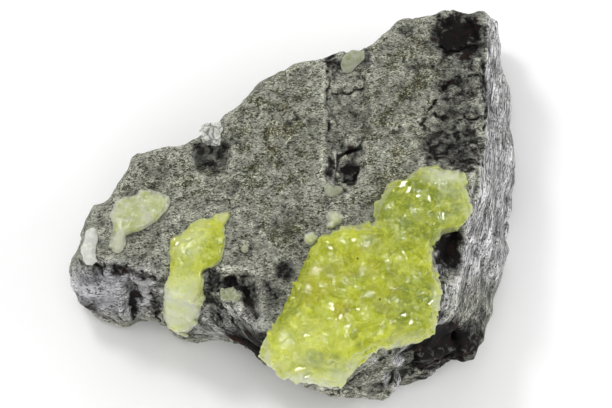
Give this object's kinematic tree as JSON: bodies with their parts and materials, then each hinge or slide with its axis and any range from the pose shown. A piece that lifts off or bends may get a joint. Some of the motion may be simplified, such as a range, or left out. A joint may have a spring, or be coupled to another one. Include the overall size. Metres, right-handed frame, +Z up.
{
  "type": "brucite on matrix mineral specimen",
  "caption": "Hand specimen of yellow-green brucite crusts grown over a broken wedge of grey serpentinite, lying on its flat broken back as a display piece.",
  "frame": {"origin": "on the ground, under the middle of the whole specimen's box", "axes": "+X to the specimen's blunt end as displayed, across the broad face; +Y towards the broad face's upper edge; +Z up, out of the broad face"},
  "size_m": [0.0904, 0.0886, 0.0342],
  "materials": {
    "serpentinite": "broken, matt, salt-and-pepper grained",
    "yellow_brucite": "translucent, waxy to vitreous",
    "pale_brucite": "translucent, waxy",
    "white_brucite": "frosted, chalky"
  },
  "bodies": {
    "root": {"matrix_rock": "serpentinite", "main_crust": "yellow_brucite", "middle_crust": "yellow_brucite", "left_crust": "pale_brucite", "white_crust": "white_brucite", "rim_knob": "white_brucite", "rim_plate": "pale_brucite", "upper_bead": "pale_brucite", "tall_bead": "pale_brucite", "low_bead": "pale_brucite", "face_bead": "white_brucite", "hollow_crust": "white_brucite"}
  },
  "joints": []
}
